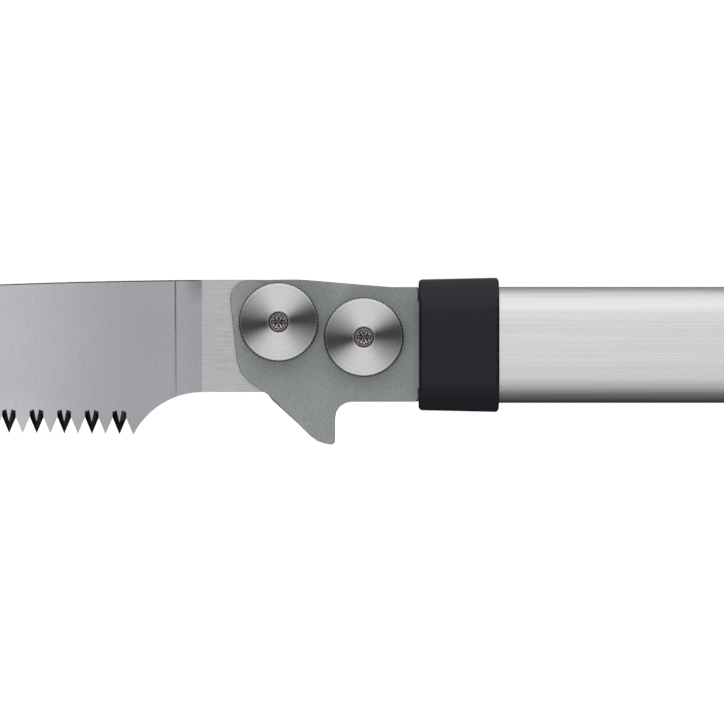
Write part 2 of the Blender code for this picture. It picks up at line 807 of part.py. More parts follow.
def add_lock(which, level, frame):
    """The clamp on the upper end of a section: level is the section that slides through it."""
    side = half_height(level + 1, LOCK_WALL)
    top = half_thickness(level + 1, LOCK_WALL)
    draw_y = -side - DRAW_OFFSET
    pivot_z = top + ROCKER_LIFT
    add_housing(which, level, frame, side, top, draw_y, pivot_z)
    ring_start = CLAMP_LENGTH + TOUCH
    along_pole(
        f"{which}_glide_ring",
        [section(level + 1), section(level, TOUCH)],
        ring_start,
        ring_start + RING_LENGTH,
        GREY_NYLON,
        frame,
    )
    add_cam_clamp(which, frame, draw_y)
    add_release(which, level, frame, top, pivot_z)
    for end, station in zip(("front", "rear"), LOCK_SCREW_STATIONS):
        shank = LOCK_WALL + 2 * TOUCH + POLE_WALL - TOUCH
        add_screw(f"{which}_lock_{end}_screw", station, 1, side, shank, frame)


def add_housing(which, level, frame, side, top, draw_y, pivot_z):
    name = f"{which}_lock_housing"
    housing = along_pole(
        name, [section(level + 1, LOCK_WALL)], 0, LOCK_LENGTH, BLACK_PLASTIC, frame
    )
    soften(housing, 1.2 * MM)
    ear_start = DRAW_X - EAR_LENGTH / 2
    ears = block(
        name + "_ears",
        (ear_start, -side - EAR_REACH, -EAR_HALF),
        (ear_start + EAR_LENGTH, -side + LOCK_WALL, EAR_HALF),
        None,
        frame,
    )
    soften(ears, 2.0 * MM)
    join(housing, ears)
    cheek_start = ROCKER_X - CHEEK_LENGTH / 2
    inner = ROCKER_WIDTH / 2 + TOUCH
    for hand, low in (("left", inner), ("right", -inner - CHEEK_WIDTH)):
        cheek = block(
            f"{name}_{hand}_cheek",
            (cheek_start, low, top - MM),
            (cheek_start + CHEEK_LENGTH, low + CHEEK_WIDTH, top + CHEEK_HEIGHT),
            None,
            frame,
        )
        join(housing, cheek)
    deep = EAR_HALF + MM
    low_y = -side - EAR_REACH - MM
    nut_pocket_height = NUT_HEIGHT + 2 * TOUCH + MM
    cut(
        housing,
        along_pole(name + "_clamp_bore", [section(level, TOUCH)], -MM, LOCK_LENGTH, None, frame),
        along_pole(
            name + "_pole_bore",
            [section(level + 1, TOUCH)],
            CLAMP_LENGTH,
            LOCK_LENGTH + MM,
            None,
            frame,
        ),
        block(
            name + "_split",
            (-2 * MM, low_y, -SPLIT_WIDTH / 2),
            (CLAMP_LENGTH + 2 * MM, -half_height(level, -3 * MM), SPLIT_WIDTH / 2),
            None,
            frame,
        ),
        block(
            name + "_relief",
            (CLAMP_LENGTH + MM, -side - MM, -top - MM),
            (CLAMP_LENGTH + MM + RELIEF_WIDTH, -2 * MM, top + MM),
            None,
            frame,
        ),
        rod(
            name + "_bolt_hole", DRAW_RADIUS + TOUCH, 2 * deep, None, frame, (DRAW_X, draw_y, 0)
        ),
        extrusion(
            name + "_nut_pocket",
            [circle_outline(0, 0, NUT_RADIUS + 1.2 * TOUCH, 6)],
            nut_pocket_height,
            None,
            frame,
            (DRAW_X, draw_y, -deep + nut_pocket_height / 2),
        ),
        rod(
            name + "_detent_hole",
            DETENT_PASS_RADIUS,
            2 * LOCK_WALL,
            None,
            frame,
            (DETENT_STATION, 0, top - LOCK_WALL / 2),
        ),
        rod(
            name + "_pivot_hole",
            ROCKER_PIN_RADIUS + TOUCH,
            4 * inner,
            None,
            frame,
            (ROCKER_X, 0, pivot_z),
            ALONG_Y,
            16,
        ),
        *[
            rod(
                f"{name}_screw_hole_{i}",
                SCREW_HOLE_RADIUS,
                2 * LOCK_WALL,
                None,
                frame,
                (station, side - LOCK_WALL / 2, 0),
                ALONG_Y,
                16,
            )
            for i, station in enumerate(LOCK_SCREW_STATIONS)
        ],
    )


def add_cam_clamp(which, frame, draw_y):
    """The draw bolt through both ears, its nut and cam washer, and the lever on its cam pin."""
    washer_low = EAR_HALF + TOUCH
    pin_z = washer_low + CAM_WASHER_THICKNESS + TOUCH + CAM_RADIUS + CAM_THROW
    hole = DRAW_RADIUS + TOUCH
    turned(
        f"{which}_cam_washer",
        [
            (CAM_WASHER_RADIUS, CAM_WASHER_THICKNESS),
            (CAM_WASHER_RADIUS, 0),
            (hole, 0),
            (hole, CAM_WASHER_THICKNESS),
        ],
        GREY_NYLON,
        frame,
        (DRAW_X, draw_y, washer_low),
        closed=True,
    )
    nut_middle = -EAR_HALF + TOUCH + NUT_HEIGHT / 2
    extrusion(
        f"{which}_draw_nut",
        [circle_outline(0, 0, NUT_RADIUS, 6), circle_outline(0, 0, hole)],
        NUT_HEIGHT,
        ZINC_STEEL,
        frame,
        (DRAW_X, draw_y, nut_middle),
    )
    bolt = extrusion(
        f"{which}_draw_bolt",
        [circle_outline(0, 0, EYE_RADIUS, 26), circle_outline(0, 0, CAM_PIN_RADIUS + TOUCH)],
        EYE_WIDTH,
        ZINC_STEEL,
        frame,
        (DRAW_X, draw_y, pin_z),
        ALONG_Y,
    )
    shank_low = -EAR_HALF + TOUCH
    shank_high = pin_z - (EYE_RADIUS + CAM_PIN_RADIUS) / 2
    join(
        bolt,
        rod(
            f"{which}_draw_shank",
            DRAW_RADIUS,
            shank_high - shank_low,
            None,
            frame,
            (DRAW_X, draw_y, (shank_low + shank_high) / 2),
            steps=20,
        ),
    )
    underside = corners_in_mm(LEVER_LOW)
    top = corners_in_mm(LEVER_HIGH)
    tip = [(LEVER_LENGTH + x, z, radius) for x, z, radius in corners_in_mm((LEVER_TIP_LOW, LEVER_TIP_HIGH))]
    lever = extrusion(
        f"{which}_cam_lever",
        [rounded(underside + tip + top)],
        LEVER_WIDTH,
        BLACK_PLASTIC,
        frame,
        (DRAW_X, draw_y, pin_z),
        ALONG_Y,
    )
    cam_width = LEVER_WIDTH + CAM_PROUD
    join(
        lever,
        rod(
            f"{which}_cam",
            CAM_RADIUS,
            cam_width,
            None,
            frame,
            (DRAW_X, draw_y, pin_z - CAM_THROW),
            ALONG_Y,
            32,
        ),
    )
    slot = EYE_WIDTH / 2 + TOUCH
    slot_reach = CAM_RADIUS + 1.5 * MM
    cut(
        lever,
        block(
            f"{which}_lever_slot",
            (DRAW_X - slot_reach, draw_y - slot, pin_z - slot_reach),
            (DRAW_X + slot_reach, draw_y + slot, pin_z + slot_reach),
            None,
            frame,
        ),
        rod(
            f"{which}_cam_pin_hole",
            CAM_PIN_RADIUS + TOUCH,
            2 * cam_width,
            None,
            frame,
            (DRAW_X, draw_y, pin_z),
            ALONG_Y,
        ),
    )
    pin_at = (DRAW_X, draw_y, pin_z)
    rod(f"{which}_cam_pin", CAM_PIN_RADIUS, cam_width, ZINC_STEEL, frame, pin_at, ALONG_Y)


def add_release(which, level, frame, top, pivot_z):
    """The rocker: a thumb pad over a spring at one end, a detent pin at the other."""
    at = (ROCKER_X, 0, pivot_z)
    profile = rounded(corners_in_mm(ROCKER_SIDE))
    rocker = extrusion(
        f"{which}_release_rocker", [profile], ROCKER_WIDTH, BLACK_PLASTIC, frame, at, ALONG_Y
    )
    seat_z = pivot_z + 0.5 * MM
    seat_depth = 5.0 * MM
    cut(
        rocker,
        rod(
            f"{which}_rocker_bore",
            ROCKER_PIN_RADIUS + TOUCH,
            2 * ROCKER_WIDTH,
            None,
            frame,
            at,
            ALONG_Y,
            16,
        ),
        rod(
            f"{which}_detent_seat",
            DETENT_RADIUS + TOUCH,
            seat_depth,
            None,
            frame,
            (DETENT_STATION, 0, seat_z - seat_depth / 2),
        ),
    )
    cheek_span = ROCKER_WIDTH + 2 * (TOUCH + CHEEK_WIDTH)
    rod(
        f"{which}_rocker_pin",
        ROCKER_PIN_RADIUS,
        cheek_span - 2 * TOUCH,
        ZINC_STEEL,
        frame,
        at,
        ALONG_Y,
        16,
    )
    detent_high = seat_z - TOUCH
    detent_low = half_thickness(level, TOUCH)
    rod(
        f"{which}_detent_pin",
        DETENT_RADIUS,
        detent_high - detent_low,
        ZINC_STEEL,
        frame,
        (DETENT_STATION, 0, (detent_high + detent_low) / 2),
    )
    spring_name = f"{which}_rocker_spring"
    pad_z = pivot_z + SPRING_SEAT
    height = pad_z - top - 2 * TOUCH
    spring_at = (ROCKER_X + SPRING_X, 0, top + TOUCH)
    place(spring_name, spring_mesh(spring_name, height), ZINC_STEEL, frame, spring_at)


add_lock("upper", 0, upper)
add_lock("lower", 1, lower)


# ---------------------------------------------------------------- butt

cap = along_pole(
    "end_cap", [section(2, CAP_WALL)], -CAP_SLEEVE, CAP_BLOCK + TOUCH, BLACK_RUBBER, butt
)
soften(cap, 2.5 * MM, 2)
cut(
    cap,
    along_pole("cap_bore", [section(2, TOUCH)], -CAP_SLEEVE - MM, TOUCH, None, butt),
    rod(
        "cap_hang_hole",
        HANG_HOLE_RADIUS,
        4 * POLE_THICKNESS,
        None,
        butt,
        (TOUCH + CAP_BLOCK / 2, 0, 0),
    ),
    rod(
        "cap_screw_holes",
        SCREW_HOLE_RADIUS,
        4 * POLE_HEIGHT,
        None,
        butt,
        (-CAP_SCREW_X, 0, 0),
        ALONG_Y,
        16,
    ),
)
for name, side in (("top_cap_screw", 1), ("bottom_cap_screw", -1)):
    shank = CAP_WALL + 2 * TOUCH + POLE_WALL - TOUCH
    add_screw(name, -CAP_SCREW_X, side, half_height(2, CAP_WALL), shank, butt)

grip_end = -CAP_SLEEVE - GRIP_GAP
along_pole(
    "grip_sleeve",
    [section(2, TOUCH + GRIP_WALL), section(2, TOUCH)],
    grip_end - GRIP_LENGTH,
    grip_end,
    BLACK_RUBBER,
    butt,
)
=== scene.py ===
"""Telescoping pole saw: its finished surfaces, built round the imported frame.

X runs along the pole towards the butt, the blade points to -X and cuts towards -Y, and the hand
knobs are on the +Z side. Sizes are in millimetres until a mesh is put in its place in the frame.
"""

import math

import bmesh
import bpy
from mathutils import Matrix, Vector


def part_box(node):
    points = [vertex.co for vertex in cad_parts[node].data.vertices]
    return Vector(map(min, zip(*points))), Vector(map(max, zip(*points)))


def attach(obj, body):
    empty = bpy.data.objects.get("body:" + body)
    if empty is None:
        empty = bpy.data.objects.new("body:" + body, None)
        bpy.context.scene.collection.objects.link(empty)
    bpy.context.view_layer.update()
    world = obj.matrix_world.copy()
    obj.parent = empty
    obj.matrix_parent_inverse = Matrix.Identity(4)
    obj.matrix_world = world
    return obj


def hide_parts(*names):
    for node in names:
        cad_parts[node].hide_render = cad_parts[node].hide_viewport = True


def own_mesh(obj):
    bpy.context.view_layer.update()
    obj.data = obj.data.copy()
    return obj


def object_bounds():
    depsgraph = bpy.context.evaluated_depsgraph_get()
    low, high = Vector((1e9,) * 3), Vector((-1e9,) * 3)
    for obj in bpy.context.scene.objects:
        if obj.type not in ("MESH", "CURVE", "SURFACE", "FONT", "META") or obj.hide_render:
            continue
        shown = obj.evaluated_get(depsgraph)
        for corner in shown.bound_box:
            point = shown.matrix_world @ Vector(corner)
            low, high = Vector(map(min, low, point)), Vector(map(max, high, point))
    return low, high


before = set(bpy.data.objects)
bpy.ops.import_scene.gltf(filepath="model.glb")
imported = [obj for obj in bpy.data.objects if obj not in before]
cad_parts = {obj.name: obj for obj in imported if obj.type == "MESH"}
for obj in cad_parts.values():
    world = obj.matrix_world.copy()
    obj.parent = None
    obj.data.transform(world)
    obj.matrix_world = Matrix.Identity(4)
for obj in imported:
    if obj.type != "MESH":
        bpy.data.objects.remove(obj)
cad_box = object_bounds()


# ---------------------------------------------------------------- studio
# The saw lies on a wide white table, knobs up, and is looked at from above its head. Long soft boxes
# run parallel to the pole, brighter beyond the blade's back, and both ends of the room stay dark.

MM = 0.001


class Channel:
    """One socket of a node tree. Sums, products and powers of channels add Math nodes."""

    def __init__(self, tree, socket=None):
        self.tree = tree
        self.socket = socket

    def node(self, kind, settings, inputs, output=0):
        """Any node: its type, its settings, then the values or links of its inputs."""
        made = self.tree.nodes.new(kind if "Node" in kind else "ShaderNode" + kind)
        for name, value in settings.items():
            if name == "stops":
                while len(made.color_ramp.elements) < len(value):
                    made.color_ramp.elements.new(1.0)
                for element, (position, level) in zip(made.color_ramp.elements, value):
                    element.position = position
                    element.color = (level, level, level, 1)
            else:
                setattr(made, name, value)
        for key, value in inputs.items():
            if isinstance(value, Channel):
                self.tree.links.new(value.socket, made.inputs[key])
            else:
                made.inputs[key].default_value = value
        return Channel(self.tree, made.outputs[output])

    def also(self, output):
        """Another output of the node that this channel leaves."""
        return Channel(self.tree, self.socket.node.outputs[output])

    def maths(self, operation, *values):
        return self.node("Math", {"operation": operation}, dict(enumerate(values)))

    def vector(self, operation, *values):
        return self.node("VectorMath", {"operation": operation}, dict(enumerate(values)))

    def scaling(self, vector, factor):
        """A vector or a colour, times a number."""
        return self.node("VectorMath", {"operation": "SCALE"}, {0: vector, "Scale": factor})

    def scaled(self, factor):
        return self.scaling(self, factor)

    def ramp(self, low, high):
        """0 up to low and 1 from high on, with a soft rise between them."""
        settings = {"interpolation_type": "SMOOTHSTEP"}
        return self.node("MapRange", settings, {"Value": self, "From Min": low, "From Max": high})

    def mix(self, first, second):
        """A colour between two others, by this channel."""
        colours = [c if isinstance(c, Channel) else (*c, 1) for c in (first, second)]
        return self.node("Mix", {"data_type": "RGBA"}, {0: self, 6: colours[0], 7: colours[1]}, 2)

    def __add__(self, other):
        return self.maths("ADD", self, other)

    def __sub__(self, other):
        return self.maths("SUBTRACT", self, other)

    def __rsub__(self, other):
        return self.maths("SUBTRACT", other, self)

    def __mul__(self, other):
        return self.maths("MULTIPLY", self, other)

    def __truediv__(self, other):
        return self.maths("DIVIDE", self, other)

    def __pow__(self, other):
        return self.maths("POWER", self, other)

    def __abs__(self):
        return self.maths("ABSOLUTE", self)

    __radd__ = __add__
    __rmul__ = __mul__


LOOKED_AT = Vector((-18.9, -5.7, 0.0))  # from the collar's front face, on the pole's axis
VIEW_WIDTH = 241.3  # of the saw's plane that the camera sees
CAMERA_HEIGHT = 1676.0

head_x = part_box("head_collar")[0].x
target = Vector((head_x, 0, 0)) + LOOKED_AT * MM

lens = bpy.data.cameras.new("camera")
lens.sensor_width = 36.0
lens.lens = lens.sensor_width * CAMERA_HEIGHT / VIEW_WIDTH
lens.clip_start = 0.1
lens.clip_end = 200.0
camera = bpy.data.objects.new("camera", lens)
bpy.context.scene.collection.objects.link(camera)
bpy.context.scene.camera = camera
camera.location = target + Vector((0, 0, CAMERA_HEIGHT * MM))
bpy.context.scene.view_settings.view_transform = "Standard"

# Brightness round the pole, by the angle from straight up towards +Y
ROOM_PROFILE = (
    (-180, 0.015), (-150, 0.02), (-125, 0.063), (-108, 0.096), (-92, 0.125), (-81, 0.14),
    (-70, 0.22), (-59, 0.33), (-49, 0.385), (-39, 0.478), (-30, 0.57), (-16, 0.68),
    (-3, 0.75), (7, 0.86), (35, 0.89), (54, 0.887), (64, 0.82), (75, 0.78),
    (87, 0.70), (100, 0.57), (116, 0.42), (136, 0.3), (160, 0.2), (180, 0.1),
)
# How much of it reaches each heading, as a share of a half turn from +X round by +Y
ROOM_HEADINGS = (
    (0.0, 0.05), (0.1, 0.06), (0.16, 0.3), (0.24, 0.68), (0.33, 0.9), (0.42, 1.0), (0.58, 1.0),
    (0.66, 0.86), (0.75, 0.6), (0.83, 0.4), (0.91, 0.24), (1.0, 0.05),
)
OVERHEAD = (0.1, 0.36)  # the sine from straight up, to which and from which the headings count
ROOM_GAIN = 1.07

world = bpy.data.worlds.new("studio")
bpy.context.scene.world = world
world.use_nodes = True
world.node_tree.nodes.clear()
room = Channel(world.node_tree)
direction = room.node("TexCoord", {}, {}, "Generated")
east = room.node("SeparateXYZ", {}, {0: direction}, "X")
north = east.also("Y")
round_pole = room.maths("ARCTAN2", north, east.also("Z")) / math.tau + 0.5
ramp_stops = [(angle / 360 + 0.5, level) for angle, level in ROOM_PROFILE]
glow = room.node("ValToRGB", {"stops": ramp_stops}, {0: round_pole})
heading = room.maths("FRACT", room.maths("ARCTAN2", north, east) / math.pi)
share = room.node("ValToRGB", {"stops": ROOM_HEADINGS}, {0: heading})
from_zenith = (east * east + north * north) ** 0.5
ends = 1 - from_zenith.ramp(*OVERHEAD) * (1 - share)
seen = room.node("LightPath", {}, {}, "Is Camera Ray")
colour = seen.mix(glow * ends * ROOM_GAIN, (1, 1, 1))
shade = room.node("Background", {}, {"Color": colour, "Strength": 1.0})
output = world.node_tree.nodes.new("ShaderNodeOutputWorld")
world.node_tree.links.new(shade.socket, output.inputs["Surface"])

TABLE_HALF = 40000.0
TABLE_GAP = 0.3
table_z = cad_box[0].z - TABLE_GAP * MM
table_mesh = bpy.data.meshes.new("table")
reach = TABLE_HALF * MM
corners = [(x, y, table_z) for x, y in ((-reach, -reach), (reach, -reach), (reach, reach), (-reach, reach))]
table_mesh.from_pydata(corners, [], [(0, 1, 2, 3)])
table = bpy.data.objects.new("table", table_mesh)
bpy.context.scene.collection.objects.link(table)
table.visible_glossy = False
table_white = bpy.data.materials.new("table_white")
table_white.use_nodes = True
table_shader = table_white.node_tree.nodes["Principled BSDF"]
for socket, value in (("Base Color", (0.9, 0.9, 0.9, 1)), ("Roughness", 1.0), ("Emission Strength", 0.75),
                      ("Emission Color", (1, 1, 1, 1)), ("Specular IOR Level", 0.0)):
    table_shader.inputs[socket].default_value = value
table_mesh.materials.append(table_white)

KEY_PLACE = Vector((-450.0, -550.0, 750.0))  # from what the camera looks at
key = bpy.data.lights.new("key", "AREA")
key.energy = 2.2
key.size = 350.0 * MM
key_light = bpy.data.objects.new("key", key)
bpy.context.scene.collection.objects.link(key_light)
key_light.location = target + KEY_PLACE * MM
key_light.rotation_euler = (key_light.location - target).to_track_quat("Z", "Y").to_euler()
key_light.visible_glossy = False


# ---------------------------------------------------------------- saw blade
# A pull-stroke pruning blade, blanked from 1.8 mm steel. Its body is ground across its length and
# thinner than the tang, and its teeth are ground on alternate faces, two bevels to a tooth.

TANG_HALF = 0.9  # half the thickness: of the tang, at the end of the grinding, and of the body
GROUND_HALF = 0.87
BODY_HALF = 0.82
SPINE_TAPER = 0.12  # the body gets thinner by this much on each face, towards the spine
EDGE_PAST_MIDDLE = 0.5  # a bevel runs through the blade's middle plane by this much
BLADE_LENGTH = 390.0
TOOTH_PITCH = 4.6
TOOTH_DEPTH = 5.5
BEVEL_ABOVE_GULLET = 2.0
BEVEL_SIDE = 0.85  # from the tooth's middle to a bevel's inner edge, at the bevel's top
TOOTH_STAGES = (0.0, TOOTH_PITCH / 2 - BEVEL_SIDE, TOOTH_PITCH / 2, TOOTH_PITCH / 2 + BEVEL_SIDE)
BEVEL_RISES = (BEVEL_ABOVE_GULLET, 8.0, 4.0, 8.0)
TOOTH_LINE_START = -29.9
TOOTH_LINE_SLOPE = 0.019
TOOTH_LINE_RADIUS = 3000.0
HEEL_RADIUS = 26.0
HEEL_START = -72.0
HEEL_STEPS = 12
TANG_LOW = -15.75
TANG_TOP = 16.5
TANG_END = -7.0
TANG_STEP = (-52.0, -49.0)
NOSE_RADIUS = 16.0
NOSE_STEPS = 6
GRIND_START = -72.2
GRIND_STEP = (-80.3, -80.8)
SHANK_COLUMNS = (*GRIND_STEP, GRIND_START, -66.0, -60.0, *TANG_STEP, -30.0, TANG_END)
SPINE_TOP = 21.7
SPINE_START = -59.5
SPINE_RADIUS = 2100.0
SPINE_END_SLOPE = 1.8
SPINE_CHAMFER = 0.4
SHANK_CHAMFER = 0.06

heel_y = TANG_LOW - HEEL_RADIUS
heel_end = math.acos((TOOTH_LINE_START - heel_y) / HEEL_RADIUS)
heel_x = HEEL_START - HEEL_RADIUS * math.sin(heel_end)
teeth = round(BLADE_LENGTH / TOOTH_PITCH) - 1
nose_x = heel_x - TOOTH_PITCH * (teeth + 1)


def tooth_line(x):
    past_heel = heel_x - x
    return TOOTH_LINE_START + TOOTH_LINE_SLOPE * past_heel - past_heel**2 / (2 * TOOTH_LINE_RADIUS)


def spine_line(x):
    return SPINE_TOP - max(0.0, SPINE_START - x) ** 2 / (2 * SPINE_RADIUS)


def blade_top(x):
    if x > TANG_STEP[0]:
        return max(TANG_TOP, spine_line(x) - (x - TANG_STEP[0]) * SPINE_END_SLOPE)
    if x < nose_x + NOSE_RADIUS:
        ahead = nose_x + NOSE_RADIUS - x
        return spine_line(nose_x + NOSE_RADIUS) - NOSE_RADIUS + math.sqrt(NOSE_RADIUS**2 - ahead**2)
    return spine_line(x)


def blade_half(x):
    """Half the thickness: the tang is full, the body lies a ground step below it."""
    if x > GRIND_START:
        return TANG_HALF
    if x > GRIND_STEP[0]:
        return TANG_HALF - (TANG_HALF - GROUND_HALF) * (GRIND_START - x) / (GRIND_START - GRIND_STEP[0])
    return BODY_HALF if x < GRIND_STEP[1] else GROUND_HALF


def linked(name, shape):
    """Turns a bmesh into an object of the scene."""
    mesh = bpy.data.meshes.new(name)
    shape.to_mesh(mesh)
    shape.free()
    piece = bpy.data.objects.new(name, mesh)
    bpy.context.scene.collection.objects.link(piece)
    return piece


def settled(piece):
    """Makes what a piece's modifiers give its own mesh."""
    made = bpy.data.meshes.new_from_object(piece.evaluated_get(bpy.context.evaluated_depsgraph_get()))
    piece.modifiers.clear()
    piece.data = made
    return piece


def fit(piece, finish, body, nodes=(), crease=35):
    """Gives a piece its surface and its place in the saw."""
    piece.data.materials.clear()
    piece.data.materials.append(finish.material)
    piece.data.shade_smooth()
    piece.data.set_sharp_from_angle(angle=math.radians(crease))
    weighting = piece.modifiers.new("weighting", "WEIGHTED_NORMAL")
    weighting.keep_sharp = True
    settled(piece)
    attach(piece, body)
    if nodes:
        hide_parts(*nodes)


def blade_shape():
    """Columns of points from the nose to the tang, and the teeth below them."""
    shape = bmesh.new()
    nose_turn = math.acos(1 - TOOTH_PITCH / 2 / NOSE_RADIUS)
    turns = [nose_turn * step / NOSE_STEPS for step in range(NOSE_STEPS)]
    xs = [nose_x + NOSE_RADIUS * (1 - math.cos(turn)) for turn in turns]
    lows = [tooth_line(nose_x) + TOOTH_DEPTH] * NOSE_STEPS
    rises = [BEVEL_ABOVE_GULLET] * NOSE_STEPS
    for quarter in range(4 * teeth + 1):
        stage = quarter % 4  # gullet, left of the tip, tip, right of the tip
        x = nose_x + TOOTH_PITCH / 2 + (quarter // 4) * TOOTH_PITCH + TOOTH_STAGES[stage]
        xs.append(x)
        lows.append(tooth_line(x) + (TOOTH_DEPTH if stage == 0 else 0))
        rises.append(BEVEL_RISES[stage])
    for step in range(HEEL_STEPS + 1):
        angle = heel_end * (1 - step / HEEL_STEPS)
        xs.append(HEEL_START - HEEL_RADIUS * math.sin(angle))
        lows.append(heel_y + HEEL_RADIUS * math.cos(angle))
        rises.append(BEVEL_ABOVE_GULLET + TOOTH_DEPTH * (step == 0))
    for x in SHANK_COLUMNS:
        arc = math.sqrt(max(0.0, HEEL_RADIUS**2 - max(0.0, HEEL_START - x) ** 2))
        xs.append(x)
        lows.append(heel_y + arc)
        rises.append(BEVEL_ABOVE_GULLET)

    # Each column has, on both faces, a point above the bevels and two at the spine's chamfer
    columns = []
    for i in sorted(range(len(xs)), key=lambda i: xs[i]):
        x, low, top = xs[i], lows[i], blade_top(xs[i])
        above = low + rises[i]
        chamfer = SPINE_CHAMFER if x < GRIND_START else SHANK_CHAMFER
        half = blade_half(x)
        thin = half - SPINE_TAPER * (x < GRIND_STEP[1])
        points = [(above, half), (top - chamfer, thin), (top, thin - chamfer)]
        rows = {side: [shape.verts.new((x, y, side * z)) for y, z in points] for side in (1, -1)}
        columns.append({"x": x, "low": low, "rows": rows})
    for column, after in zip(columns, columns[1:]):
        for side in (1, -1):
            a, b = column["rows"][side], after["rows"][side]
            for row in (0, 1):
                shape.faces.new((a[row], b[row], b[row + 1], a[row + 1]))
        a, b = column["rows"], after["rows"]
        shape.faces.new((a[1][2], b[1][2], b[-1][2], a[-1][2]))

    # The edge is plain at the nose and from the heel on
    first_tooth, last_tooth = NOSE_STEPS, NOSE_STEPS + 4 * teeth
    for i, column in enumerate(columns):
        if not first_tooth < i < last_tooth:
            half = blade_half(column["x"])
            low = column["low"]
            column["base"] = {s: shape.verts.new((column["x"], low, s * half)) for s in (1, -1)}
    plain = list(range(first_tooth)) + list(range(last_tooth, len(columns) - 1))
    for i in plain:
        a, b = columns[i], columns[i + 1]
        for side in (1, -1):
            face = (a["base"][side], b["base"][side], b["rows"][side][0], a["rows"][side][0])
            shape.faces.new(face)
        shape.faces.new((a["base"][1], b["base"][1], b["base"][-1], a["base"][-1]))
    for end in (columns[0], columns[-1]):
        left = [end["base"][1], *end["rows"][1]]
        right = [end["base"][-1], *end["rows"][-1]]
        shape.faces.new(left + right[::-1])
    add_teeth(shape, columns, first_tooth, last_tooth)
    bmesh.ops.recalc_face_normals(shape, faces=shape.faces)
    return shape


def add_teeth(shape, columns, first_tooth, last_tooth):
    """Each tooth is flat on one face and has two bevels on the other, by turns."""
    middles = {}
    for i in range(first_tooth + 4, last_tooth, 4):
        column = columns[i]
        half = blade_half(column["x"])
        rise = BEVEL_ABOVE_GULLET * EDGE_PAST_MIDDLE / (EDGE_PAST_MIDDLE + half)
        middles[i] = shape.verts.new((column["x"], column["low"] + rise, 0))
    for tooth in range(teeth):
        i = first_tooth + 4 * tooth
        ground = -1 if (teeth - 1 - tooth) % 2 else 1
        corners = {1: [], -1: []}
        for k in (i, i + 2, i + 4):
            column = columns[k]
            for side in (1, -1):
                z = -ground * EDGE_PAST_MIDDLE if side == ground else side * blade_half(column["x"])
                if "base" in column and side != ground:
                    corners[side].append(column["base"][side])
                else:
                    corners[side].append(shape.verts.new((column["x"], column["low"], z)))
        above = {side: [columns[i + k]["rows"][side][0] for k in range(5)] for side in (1, -1)}
        flat, cut = corners[-ground], corners[ground]
        left, crest, right = above[ground][1:4]
        back = above[-ground]
        shape.faces.new((flat[0], flat[1], back[2], back[1], back[0]))
        shape.faces.new((flat[1], flat[2], back[4], back[3], back[2]))
        for end, k, inner in ((0, i, left), (2, i + 4, right)):
            shape.faces.new((flat[end], flat[1], cut[1], cut[end]))
            root = above[ground][2 * end]
            shape.faces.new((cut[end], cut[1], crest))
            if k in middles:
                shape.faces.new((cut[end], crest, inner, middles[k]))
                shape.faces.new((middles[k], inner, root))
                wall = (flat[end], cut[end], middles[k], back[2 * end])
            else:
                shape.faces.new((cut[end], crest, inner, root))
                wall = (columns[k]["base"][ground], cut[end], root)
            shape.faces.new(wall)


def at_head(piece):
    """Puts a mesh made in millimetres from the collar's front face in its place."""
    piece.data.transform(Matrix.Translation((head_x, 0, 0)) @ Matrix.Scale(MM, 4))
    return piece


class Finish(Channel):
    """A material with its steady values set, and a channel to build the rest of it from."""

    def __init__(self, name, **steady):
        self.material = bpy.data.materials.new(name)
        self.material.use_nodes = True
        super().__init__(self.material.node_tree)
        self.shader = self.tree.nodes["Principled BSDF"]
        for key, value in steady.items():
            self.shader.inputs[key.replace("_", " ").title().replace("Ior", "IOR")].default_value = value
        place = self.node("TexCoord", {}, {}, "Object")
        self.place = place
        self.x = self.node("SeparateXYZ", {}, {0: place}, "X")
        self.y = self.x.also("Y")
        self.z = self.x.also("Z")
        self.normal = self.node("NewGeometry", {}, {}, "Normal")

    def feed(self, socket, value):
        self.tree.links.new(value.socket, self.shader.inputs[socket])

    def noise(self, stretch, detail=2.0, rough=0.5):
        """Noise about 0, whose grains have these lengths in millimetres along X, Y and Z."""
        scale = tuple(1 / (length * MM) for length in stretch)
        grain = self.vector("MULTIPLY", self.place, scale)
        inputs = {"Vector": grain, "Scale": 1.0, "Detail": detail, "Roughness": rough}
        return self.node("TexNoise", {}, inputs) - 0.5

    def toned(self, tone, change):
        """A colour made lighter or darker where the change is above or below 0."""
        return self.scaling(tone, 1 + change)

    def bumped(self, height, depth):
        """The normal over a relief of this depth in millimetres."""
        return self.node("Bump", {}, {"Height": height, "Distance": depth * MM, "Strength": 1.0})

    def lean(self, slope, towards):
        """The normal, leaning by a slope towards a direction; fine slopes look like brushing."""
        return self.vector("NORMALIZE", self.vector("ADD", self.normal, self.scaling(towards, slope)))


steel = Finish("blade_steel", Metallic=1.0)
from_head = (steel.x - head_x) / MM
is_tang = from_head.ramp(GRIND_START - 0.1, GRIND_START + 0.1)
across = steel.noise((0.42, 4.5, 30.0), 2.0)
lengthwise = steel.noise((9.0, 0.5, 30.0), 2.0)
clouds = steel.noise((35.0, 22.0, 30.0), 1.0)
# The body's colour is lighter towards the nose and darker towards the head.
nearer_head = from_head.ramp(-150.0, -92.0)
body_tone = nearer_head.mix((0.73, 0.735, 0.77), (0.51, 0.515, 0.545))
steel_tone = is_tang.mix(body_tone, (0.63, 0.62, 0.645))
streaks = (across * (1 - is_tang) * 0.26 + lengthwise * is_tang * 0.4) + clouds * 0.12
